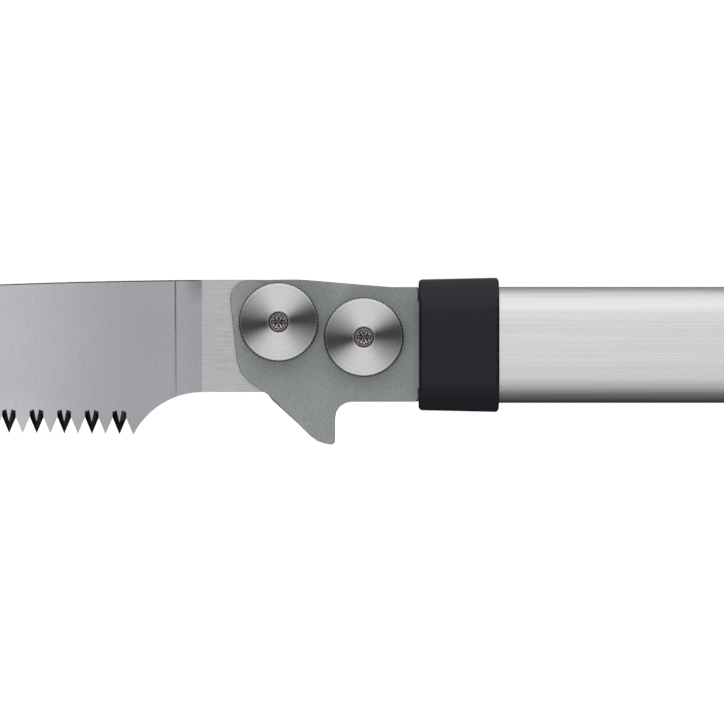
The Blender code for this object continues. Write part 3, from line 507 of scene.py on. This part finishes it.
# Painted shade: a band of the body just past the end of the grinding is painted darker, most of all towards
# the spine.
past_grind_band = from_head.ramp(-79.5, -73.5) * (1 - is_tang)
above_axis = steel.y / MM
past_grind_painted_shade = past_grind_band * (0.05 + above_axis.ramp(12.0, 21.0) * 0.28)
toothed_edge = above_axis.ramp(-12.0, -27.0) * from_head.ramp(-100.0, -140.0) * 0.1
streaks = streaks + toothed_edge - past_grind_painted_shade
# Painted shade: faces that lean away from the blade's flat sides, the spine's chamfer and the bevels and
# walls of the teeth, have their colour painted up to 82% darker.
off_flat_painted_shade = abs(steel.node("SeparateXYZ", {}, {0: steel.normal}, "Z")).ramp(0.975, 0.88)
steel.feed("Base Color", steel.toned(steel_tone, streaks).scaled(1 - off_flat_painted_shade * 0.82))
steel.feed("Roughness", 0.3 + across * 0.12)
across_leaning = steel.lean(across * (1 - is_tang) * 0.13, (1, 0, 0))
along_leaning = steel.lean(lengthwise * is_tang * 0.24, (0, 1, 0))
steel.feed("Normal", steel.vector("NORMALIZE", steel.vector("ADD", across_leaning, along_leaning)))

saw_blade = at_head(linked("finished_saw_blade", blade_shape()))
fit(saw_blade, steel, "head", ["saw_blade"], 12)


# ---------------------------------------------------------------- side plates and spacer
# Two 3 mm steel plates with a hook below, stamped and tumbled, then coated in matte grey. They hold
# the blade's tang and a spacer of its thickness between them, and their tongues go into the pole.

PLATE_EDGE = 0.42
SPACER_EDGE = 0.1
SHOULDER_X = -0.9  # past here, above and below the tongue, a plate bears on the collar
SHOULDER_Y = 14.8
SHOULDER_REACH = 0.22
SAME_POINT = 0.01
FLAT_ANGLE = 0.5
SHARP_ANGLE = 40


def softened(node, edge, steps=2, where=None):
    """A copy of a solid whose sharp edges are rounded by this much."""
    shape = bmesh.new()
    shape.from_mesh(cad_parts[node].data)
    bmesh.ops.remove_doubles(shape, verts=shape.verts, dist=SAME_POINT * MM)
    flat = {"angle_limit": math.radians(FLAT_ANGLE), "verts": shape.verts, "edges": shape.edges}
    bmesh.ops.dissolve_limit(shape, **flat, delimit={"NORMAL"})
    least = math.radians(SHARP_ANGLE)
    sharp = [e for e in shape.edges if len(e.link_faces) == 2 and e.calc_face_angle() > least]
    if where:
        sharp = [e for e in sharp if all(where(v.co) for v in e.verts)]
    bmesh.ops.bevel(shape, geom=sharp, offset=edge * MM, segments=steps, profile=0.5,
                    affect="EDGES", clamp_overlap=True)
    return linked("finished_" + node, shape)


coat = Finish("plate_coat", Metallic=0.45)
speckle = coat.noise((0.5, 0.5, 0.5), 2.0)
mottle = coat.noise((11.0, 11.0, 11.0), 2.0)
# Painted shade: the plates' rounded edges, where they turn away from the flat faces, are painted up to 75%
# darker.
edge_painted_shade = 1 - abs(coat.node("SeparateXYZ", {}, {0: coat.normal}, "Z")).ramp(0.97, 0.7) * 0.75
coat_tone = coat.toned((0.485, 0.515, 0.52), speckle * 0.8 + mottle * 0.16)
coat.feed("Base Color", coat_tone.scaled(edge_painted_shade))
coat.feed("Roughness", 0.5 + speckle * 0.25)
coat.feed("Normal", coat.bumped(speckle, 0.035))

for node in ("near_side_plate", "far_side_plate", "spacer_plate"):
    plate = softened(node, PLATE_EDGE if "side" in node else SPACER_EDGE)
    for vertex in plate.data.vertices:
        if vertex.co.x > head_x + SHOULDER_X * MM and abs(vertex.co.y) > SHOULDER_Y * MM:
            vertex.co.x += SHOULDER_REACH * MM
    fit(plate, coat, "head", [node])


# ---------------------------------------------------------------- clamp bolts, washers, hand knobs
# A bolt with a six-lobe socket in its tip comes up through the plates at each station. On it are a
# thick washer and a round knob, faced on a lathe and knurled on the rim, with a countersunk middle.

STATIONS = {"front": (-46.5, 7.5), "rear": (-18.3, 2.5)}
KNURLS = 64
KNURL_DEPTH = 0.32
KNOB_LOW = 6.0
KNOB_TOP = 14.0
KNOB_PROFILE = (  # radius, height and the knurl's depth there
    (3.35, KNOB_LOW, 0), (12.3, KNOB_LOW, 0), (13.35, 6.9, KNURL_DEPTH), (13.35, 12.9, KNURL_DEPTH),
    (12.98, 13.66, KNURL_DEPTH * 0.5), (12.66, 13.92, 0), (12.42, KNOB_TOP, 0),
    (3.7, KNOB_TOP, 0), (3.6, 13.95, 0), (3.35, 13.6, 0),
)
BOLT_RADIUS = 3.0
BOLT_TIP = 13.6
BOLT_PROFILE = (
    (5.4, -7.5), (6.1, -7.35), (6.5, -6.9), (6.5, -4.7), (6.3, -4.5), (BOLT_RADIUS, -4.5),
    (BOLT_RADIUS, 13.3), (2.9, 13.5), (2.75, BOLT_TIP),
)
SOCKET_RADIUS = 2.15
SOCKET_LOBE = 0.55
SOCKET_DEPTH = 2.5
SOCKET_LOBES = 6
SOCKET_FLARE = 0.35  # its mouth is this much wider and as much rounder
SOCKET_MOUTH = 0.45
SOCKET_POINT = 1.0
WASHER_EDGE = 0.15
TURNING_FEED = 0.13


def ring(radius, z, depth=0.0, waves=KNURLS):
    """Points round an axis, four to a knurl; a depth makes waves in the radius."""
    points = []
    for step in range(4 * KNURLS):
        angle = math.tau * step / (4 * KNURLS)
        reach = radius - depth * (0.5 - 0.5 * math.cos(waves * angle))
        points.append((reach * math.cos(angle), reach * math.sin(angle), z))
    return points


def loft(name, rings, closed):
    """A skin over rings of points, closed back to the first ring or capped at both ends."""
    shape = bmesh.new()
    rows = [[shape.verts.new(point) for point in points] for points in rings]
    pairs = list(zip(rows, rows[1:])) + ([(rows[-1], rows[0])] if closed else [])
    for a, b in pairs:
        for i in range(len(a)):
            shape.faces.new((a[i - 1], a[i], b[i], b[i - 1]))
    if not closed:
        shape.faces.new(rows[0])
        shape.faces.new(rows[-1])
    bmesh.ops.recalc_face_normals(shape, faces=shape.faces)
    return linked(name, shape)


class NodeTree(Channel):
    """A Geometry Nodes tree with named inputs for its sizes."""

    def __init__(self, name, **sizes):
        tree = bpy.data.node_groups.new(name, "GeometryNodeTree")
        super().__init__(tree)
        tree.interface.new_socket("Geometry", in_out="OUTPUT", socket_type="NodeSocketGeometry")
        self.entry = tree.nodes.new("NodeGroupInput")
        self.identifiers = {}
        for size_name, kind in {**sizes, "Material": "Material"}.items():
            socket = tree.interface.new_socket(size_name, in_out="INPUT", socket_type="NodeSocket" + kind)
            self.identifiers[size_name] = socket.identifier

    def size(self, name):
        return Channel(self.tree, self.entry.outputs[name])

    def end(self, geometry):
        """Realize Instances and Set Material close the tree."""
        whole = self.node("GeometryNodeRealizeInstances", {}, {0: geometry})
        whole = self.node("GeometryNodeSetMaterial", {}, {0: whole, "Material": self.size("Material")})
        leaving = self.tree.nodes.new("NodeGroupOutput")
        self.tree.links.new(whole.socket, leaving.inputs[0])

    def made(self, name, finish, **sizes):
        """A mesh from the tree, with these sizes."""
        piece = linked(name, bmesh.new())
        repeat = piece.modifiers.new("repeat", "NODES")
        repeat.node_group = self.tree
        for size_name, value in {**sizes, "Material": finish.material}.items():
            repeat[self.identifiers[size_name]] = value
        return settled(piece)


def turned_steel(name, station):
    """Bright steel with the rings that a lathe leaves round this station's axis."""
    bright = Finish(name, Metallic=1.0)
    axis = (head_x + station[0] * MM, station[1] * MM, 0)
    outward = bright.vector("MULTIPLY", bright.vector("SUBTRACT", bright.place, axis), (1, 1, 0))
    out = bright.node("VectorMath", {"operation": "LENGTH"}, {0: outward}, "Value") / MM
    along_out = {"noise_dimensions": "1D"}
    fine = {"W": out, "Scale": 3.5, "Detail": 3.0, "Roughness": 0.6}
    rings = bright.node("TexNoise", along_out, fine) - 0.5
    broad = bright.node("TexNoise", along_out, {"W": out, "Scale": 1.1, "Detail": 1.0}) - 0.5
    grooves = bright.maths("SIGN", bright.maths("SINE", out * (math.tau / TURNING_FEED)))
    upward = bright.node("SeparateXYZ", {}, {0: bright.normal}, "Z")
    is_face = upward.ramp(0.9, 0.97)
    # Painted shade: the knurled rim and the other sides of a knob or washer, turned away from its axis, are
    # painted up to 75% darker.
    side_painted_shade = abs(upward).ramp(0.72, 0.5)
    ringed = bright.toned((0.80, 0.79, 0.82), rings * 0.22 + broad * 0.16)
    bright.feed("Base Color", ringed.scaled(1 - side_painted_shade * 0.75))
    bright.feed("Roughness", 0.18 + rings * 0.1)
    slope = grooves * is_face * (0.34 + broad * 0.14)
    bright.feed("Normal", bright.lean(slope, bright.vector("NORMALIZE", outward)))
    return bright


bolt_steel = Finish("bolt_steel", Metallic=1.0)
bolt_grain = bolt_steel.noise((0.8, 0.8, 0.8), 3.0)
facing = abs(bolt_steel.node("SeparateXYZ", {}, {0: bolt_steel.normal}, "Z"))
# Painted highlight: the bolt's faces that lean part way from its axis, its chamfers and the lobes of its
# socket, are painted a light pinkish colour over the dark steel of its flat tip and sides.
tilt_painted_highlight = facing.ramp(0.25, 0.5) * facing.ramp(0.985, 0.93)
bolt_tone = tilt_painted_highlight.mix((0.2, 0.165, 0.165), (0.96, 0.87, 0.87))
bolt_steel.feed("Base Color", bolt_steel.toned(bolt_tone, bolt_grain * 1.2))
bolt_steel.feed("Roughness", 0.25 + bolt_grain * 0.2)
bolt_steel.feed("Normal", bolt_steel.bumped(bolt_grain, 0.04))

for end, station in STATIONS.items():
    bright = turned_steel("turned_steel_" + end, station)
    middle = Vector((head_x + station[0] * MM, station[1] * MM, 0))
    knob = loft(f"finished_{end}_knob", [ring(*corner) for corner in KNOB_PROFILE], True)
    rings = [ring(*corner) for corner in BOLT_PROFILE]
    rings.append(ring(SOCKET_RADIUS + SOCKET_FLARE, BOLT_TIP, SOCKET_LOBE * 0.7, SOCKET_LOBES))
    for depth in (SOCKET_MOUTH, SOCKET_DEPTH):
        rings.append(ring(SOCKET_RADIUS, BOLT_TIP - depth, SOCKET_LOBE, SOCKET_LOBES))
    rings.append(ring(0.2, BOLT_TIP - SOCKET_DEPTH - SOCKET_POINT))
    bolt = loft(f"finished_{end}_clamp_bolt", rings, False)
    for piece in (knob, bolt):
        piece.data.transform(Matrix.Translation(middle) @ Matrix.Scale(MM, 4))
    fit(knob, bright, end + "_knob", [end + "_knob"], 30)
    fit(bolt, bolt_steel, "head", [end + "_clamp_bolt"], 30)
    washer = softened(end + "_washer", WASHER_EDGE)
    fit(washer, bright, end + "_washer_lift", [end + "_washer"])


# ---------------------------------------------------------------- head collar
# A black nylon cap pushed over the end of the pole, with a slot in its face for the plates. It is
# moulded with a fine matte grain and a slight draft, so it is a touch wider at the back.

COLLAR_LENGTH = 26.5
COLLAR_DRAFT = 0.027
COLLAR_EDGE = 1.5
COLLAR_SKIN = 2.3  # only edges this near the outside are rounded, so the slot stays sharp


def moulded(name, colour, roughness, grain, depth, cloud=0.1):
    """A moulded plastic: the fine grain of an etched mould, and faint clouds where it flowed."""
    plastic = Finish(name, Specular_Ior_Level=0.4)
    texture = plastic.noise((grain, grain, grain), 3.0)
    flow = plastic.noise((22.0, 12.0, 12.0), 1.0)
    plastic.feed("Base Color", plastic.toned(colour, texture * 0.3 + flow * cloud))
    plastic.feed("Roughness", roughness + texture * 0.18)
    plastic.feed("Normal", plastic.bumped(texture, depth))
    return plastic


collar_black = moulded("collar_black", (0.0125, 0.0085, 0.0165), 0.4, 0.35, 0.02)
collar_low, collar_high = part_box("head_collar")


def on_outside(point):
    inside = collar_high - Vector((0, COLLAR_SKIN, COLLAR_SKIN)) * MM
    return abs(point.y) > inside.y or abs(point.z) > inside.z


collar = softened("head_collar", COLLAR_EDGE, 4, on_outside)
for vertex in collar.data.vertices:
    behind = (vertex.co.x - collar_low.x) / (COLLAR_LENGTH * MM) - 0.5
    vertex.co.y *= 1 + behind * COLLAR_DRAFT
    vertex.co.z *= 1 + behind * COLLAR_DRAFT
fit(collar, collar_black, "head", ["head_collar"])


# ---------------------------------------------------------------- packers and cross pins
# Two nylon packers fill the pole beside the plates' tongues, and two plated pins go through it all
# under the collar.

nylon = moulded("natural_nylon", (0.34, 0.34, 0.33), 0.42, 0.5, 0.015)
zinc = Finish("zinc_plate", Metallic=1.0)
spangle = zinc.noise((0.9, 0.9, 0.9), 3.0)
haze = zinc.noise((6.0, 6.0, 6.0), 2.0)
zinc.feed("Base Color", zinc.toned((0.55, 0.555, 0.57), spangle * 0.25 + haze * 0.3))
zinc.feed("Roughness", 0.3 + haze * 0.2)
zinc.feed("Normal", zinc.bumped(spangle, 0.01))

for node in ("near_packer", "far_packer"):
    fit(softened(node, 0.2), nylon, "head", [node])
for node in ("front_cross_pin", "rear_cross_pin"):
    fit(softened(node, 0.25), zinc, "head", [node])


# ---------------------------------------------------------------- pole sections and end plugs
# Three oval aluminium tubes, drawn and then brushed along their length with a satin finish. A nylon
# plug closes the lower end of the inner and of the middle one.

CROWN_HALF = 11.3  # the wide sides bulge slightly, up to this far from their middle
CROWN_LEAN = 0.055

aluminium = Finish("brushed_aluminium", Metallic=1.0)
fine_brush = aluminium.noise((60.0, 0.22, 0.22), 3.0, 0.6)
long_brush = aluminium.noise((160.0, 1.4, 1.4), 2.0)
bands = aluminium.noise((300.0, 9.0, 9.0), 1.0)
brushing = fine_brush * 0.22 + long_brush * 0.14 + bands * 0.12
aluminium.feed("Base Color", aluminium.toned((0.90, 0.88, 0.893), brushing))
aluminium.feed("Roughness", 0.27 + fine_brush * 0.14)
round_tube = aluminium.vector("CROSS_PRODUCT", (1, 0, 0), aluminium.normal)
off_middle = (aluminium.y / (CROWN_HALF * MM)) ** 3
crown = aluminium.node("Clamp", {}, {"Value": off_middle, "Min": -1.0, "Max": 1.0})
on_flat = aluminium.node("SeparateXYZ", {}, {0: aluminium.normal}, "Z").ramp(0.9, 0.999)
crowned = aluminium.scaling((0, 1, 0), crown * on_flat * CROWN_LEAN)
brushed = aluminium.lean(fine_brush * 0.42, round_tube)
aluminium.feed("Normal", aluminium.vector("NORMALIZE", aluminium.vector("ADD", brushed, crowned)))

SECTION_BODIES = {"inner": "head", "middle": "middle_section", "outer": "outer_section"}
for level, body in SECTION_BODIES.items():
    fit(softened(level + "_pole", 0.25), aluminium, body, [level + "_pole"])
    if level != "outer":
        fit(softened(level + "_end_plug", 0.4), nylon, body, [level + "_end_plug"])


# ---------------------------------------------------------------- locks
# Each joint of the pole has a split nylon housing, squeezed round the thinner tube by a cam lever on
# a draw bolt. Behind it a sprung rocker drops a pin into the tube's holes, and two screws hold it.

housing_black = moulded("housing_black", (0.026, 0.026, 0.029), 0.42, 0.5, 0.04)
lever_black = moulded("lever_grey", (0.060, 0.062, 0.066), 0.38, 0.4, 0.02)

coil = NodeTree("coil_spring", Turns="Float", Radius="Float", Height="Float", Wire="Float", Foot="Vector")
helix = coil.node("GeometryNodeCurveSpiral", {}, {
    "Resolution": 24, "Rotations": coil.size("Turns"), "Start Radius": coil.size("Radius"),
    "End Radius": coil.size("Radius"), "Height": coil.size("Height")})
wire = coil.node("GeometryNodeCurvePrimitiveCircle", {"mode": "RADIUS"}, {
    "Resolution": 8, "Radius": coil.size("Wire")})
wound = coil.node("GeometryNodeCurveToMesh", {}, {"Curve": helix, "Profile Curve": wire, "Fill Caps": True})
coil.end(coil.node("GeometryNodeTransform", {}, {"Geometry": wound, "Translation": coil.size("Foot")}))

SCREW_HEAD = (  # radius and height above the head's seat
    (1.7, 0.0), (3.3, 0.0), (3.5, 0.2), (3.32, 1.2), (2.6, 1.9), (1.8, 2.15), (1.62, 2.2),
)
SCREW_SOCKET = ((1.4, 2.12), (1.32, 1.8), (1.3, 0.9))
SCREW_LOBE = 0.38


def pan_screw(node, side, body):
    """A plated pan head screw with a six-lobe drive, along +Y (side 1) or -Y (side -1)."""
    low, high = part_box(node)
    seat = (high.y - low.y) / MM - SCREW_HEAD[-1][1]
    rings = [ring(SCREW_HEAD[0][0], -seat)] + [ring(*corner) for corner in SCREW_HEAD]
    rings += [ring(reach, z, SCREW_LOBE, SOCKET_LOBES) for reach, z in SCREW_SOCKET]
    piece = loft("finished_" + node, rings + [ring(0.15, 0.6)], False)
    middle = Vector(((low.x + high.x) / 2, 0, (low.z + high.z) / 2))
    middle.y = low.y + seat * MM if side > 0 else high.y - seat * MM
    turn = Matrix.Rotation(math.radians(-90 * side), 4, "X")
    piece.data.transform(Matrix.Translation(middle) @ turn @ Matrix.Scale(MM, 4))
    fit(piece, zinc, body, [node])


LOCK_PIECES = {
    "lock_housing": (housing_black, "black_plastic", 0.5),
    "glide_ring": (nylon, "grey_nylon", 0.3),
    "cam_washer": (zinc, "zinc_steel", 0.15),
    "draw_bolt": (zinc, "zinc_steel", 0.2),
    "draw_nut": (zinc, "zinc_steel", 0.3),
    "rocker_pin": (zinc, "zinc_steel", 0.2),
    "cam_lever": (lever_black, "black_plastic", 0.6),
    "cam_pin": (zinc, "zinc_steel", 0.25),
    "release_rocker": (lever_black, "black_plastic", 0.5),
    "detent_pin": (zinc, "zinc_steel", 0.4),
}
MOVING_PIECES = {
    "cam_lever": "lever", "cam_pin": "lever", "release_rocker": "rocker", "detent_pin": "rocker",
}
SPRING_WIRE = 0.4
SPRING_TURNS = 3.0
FINGER_STEP = 2.2
LEVER_RISE = 0.217  # of the lever's tip, above its length
LEVER_RIBS = {"Count": 6, "Radius": 0.7 * MM, "Width": 9.0 * MM}
ROCKER_RIBS = {"Count": 4, "Radius": 0.5 * MM, "Width": 8.0 * MM}
LEVER_RIB_PLACE = (-15.5, 4.0)  # the first one, from the lever's tip and above its pin's middle
ROCKER_RIB_PLACE = (2.2, -0.1)  # the first one, from the rocker's end and above its top

bars = NodeTree("finger_ribs", Count="Int", First="Vector", Step="Vector", Radius="Float", Width="Float")
bar = bars.node("GeometryNodeMeshCylinder", {}, {
    "Vertices": 10, "Radius": bars.size("Radius"), "Depth": bars.size("Width")})
bar_row = bars.node("GeometryNodeMeshLine", {"mode": "OFFSET"}, {
    "Count": bars.size("Count"), "Start Location": bars.size("First"), "Offset": bars.size("Step")})
bars.end(bars.node("GeometryNodeInstanceOnPoints", {}, {
    "Points": bar_row, "Instance": bar, "Rotation": (math.pi / 2, 0, 0)}))


def finger_ribs(name, body, x, y, z, rise, rib):
    """A row of ribs moulded on a lever or a rocker, where a finger presses."""
    step = Vector((FINGER_STEP * MM, 0, FINGER_STEP * rise * MM))
    ribs = bars.made(name, lever_black, **rib, First=Vector((x, y, z)), Step=step)
    fit(ribs, lever_black, body)


for which, fixed_body in (("upper", "middle_section"), ("lower", "outer_section")):
    for part, (finish, slot, edge) in LOCK_PIECES.items():
        body = f"{which}_{MOVING_PIECES[part]}" if part in MOVING_PIECES else fixed_body
        fit(softened(f"{which}_{part}", edge), finish, body, [f"{which}_{part}"])
    for place_on_lock in ("front", "rear"):
        pan_screw(f"{which}_lock_{place_on_lock}_screw", 1, fixed_body)
    pin_low, pin_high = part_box(which + "_cam_pin")
    low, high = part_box(which + "_cam_lever")
    back, above = LEVER_RIB_PLACE
    finger_ribs(
        which + "_lever_ribs", which + "_lever", high.x + back * MM, (low.y + high.y) / 2,
        (pin_low.z + pin_high.z) / 2 + above * MM, LEVER_RISE, LEVER_RIBS,
    )
    low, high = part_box(which + "_release_rocker")
    back, above = ROCKER_RIB_PLACE
    finger_ribs(
        which + "_rocker_ribs", which + "_rocker", low.x + back * MM, (low.y + high.y) / 2,
        high.z + above * MM, 0.0, ROCKER_RIBS,
    )
    node = which + "_rocker_spring"
    low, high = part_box(node)
    foot = Vector(((low.x + high.x) / 2, (low.y + high.y) / 2, low.z + SPRING_WIRE * MM))
    spring = coil.made(
        "finished_" + node, zinc, Turns=SPRING_TURNS, Radius=(high.x - low.x) / 2 - SPRING_WIRE * MM,
        Height=high.z - low.z - 2 * SPRING_WIRE * MM, Wire=SPRING_WIRE * MM, Foot=foot,
    )
    fit(spring, zinc, fixed_body, [node], 50)
    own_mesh(spring)


# ---------------------------------------------------------------- grip and end cap
# A ribbed rubber sleeve is drawn over the lowest section. The butt is closed by a nylon cap with a
# hole to hang the saw by, held by two screws.

rubber = moulded("grip_rubber", (0.021, 0.021, 0.022), 0.68, 0.7, 0.05, 0.2)
cap_black = moulded("cap_black", (0.017, 0.017, 0.019), 0.48, 0.5, 0.03)

RIB_PITCH = 6.0
RIB_RADIUS = 0.9
RIB_MARGIN = 22.0
RIB_SUNK = 0.3
GRIP_CORNER = 14.5

hoops = NodeTree("grip_ribs", Count="Int", Width="Float", Thickness="Float", Corner="Float", Rib="Float",
                 First="Vector", Pitch="Vector")
oval = hoops.node("GeometryNodeCurvePrimitiveQuadrilateral", {"mode": "RECTANGLE"}, {
    "Width": hoops.size("Width"), "Height": hoops.size("Thickness")})
oval = hoops.node("GeometryNodeFilletCurve", {"mode": "POLY"}, {
    "Curve": oval, "Count": 7, "Radius": hoops.size("Corner")})
round_rib = hoops.node("GeometryNodeCurvePrimitiveCircle", {"mode": "RADIUS"}, {
    "Resolution": 8, "Radius": hoops.size("Rib")})
hoop = hoops.node("GeometryNodeCurveToMesh", {}, {"Curve": oval, "Profile Curve": round_rib})
row = hoops.node("GeometryNodeMeshLine", {"mode": "OFFSET"}, {
    "Count": hoops.size("Count"), "Start Location": hoops.size("First"), "Offset": hoops.size("Pitch")})
hoops.end(hoops.node("GeometryNodeInstanceOnPoints", {}, {
    "Points": row, "Instance": hoop, "Rotation": (math.pi / 2, 0, math.pi / 2)}))

grip_low, grip_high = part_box("grip_sleeve")
grip = grip_high - grip_low
rib_count = int((grip.x / MM - 2 * RIB_MARGIN) / RIB_PITCH) + 1
first_rib = Vector(((grip_low.x + grip_high.x) / 2 - (rib_count - 1) / 2 * RIB_PITCH * MM, 0, 0))
ribs = hoops.made(
    "grip_ribs", rubber, Count=rib_count, Width=grip.y - 2 * RIB_SUNK * MM,
    Thickness=grip.z - 2 * RIB_SUNK * MM, Corner=GRIP_CORNER * MM, Rib=RIB_RADIUS * MM,
    First=first_rib, Pitch=Vector((RIB_PITCH * MM, 0, 0)),
)
fit(ribs, rubber, "outer_section", crease=60)
fit(softened("grip_sleeve", 0.7, 3), rubber, "outer_section", ["grip_sleeve"])
fit(softened("end_cap", 1.0, 3), cap_black, "outer_section", ["end_cap"])
pan_screw("top_cap_screw", 1, "outer_section")
pan_screw("bottom_cap_screw", -1, "outer_section")

bpy.context.view_layer.update()
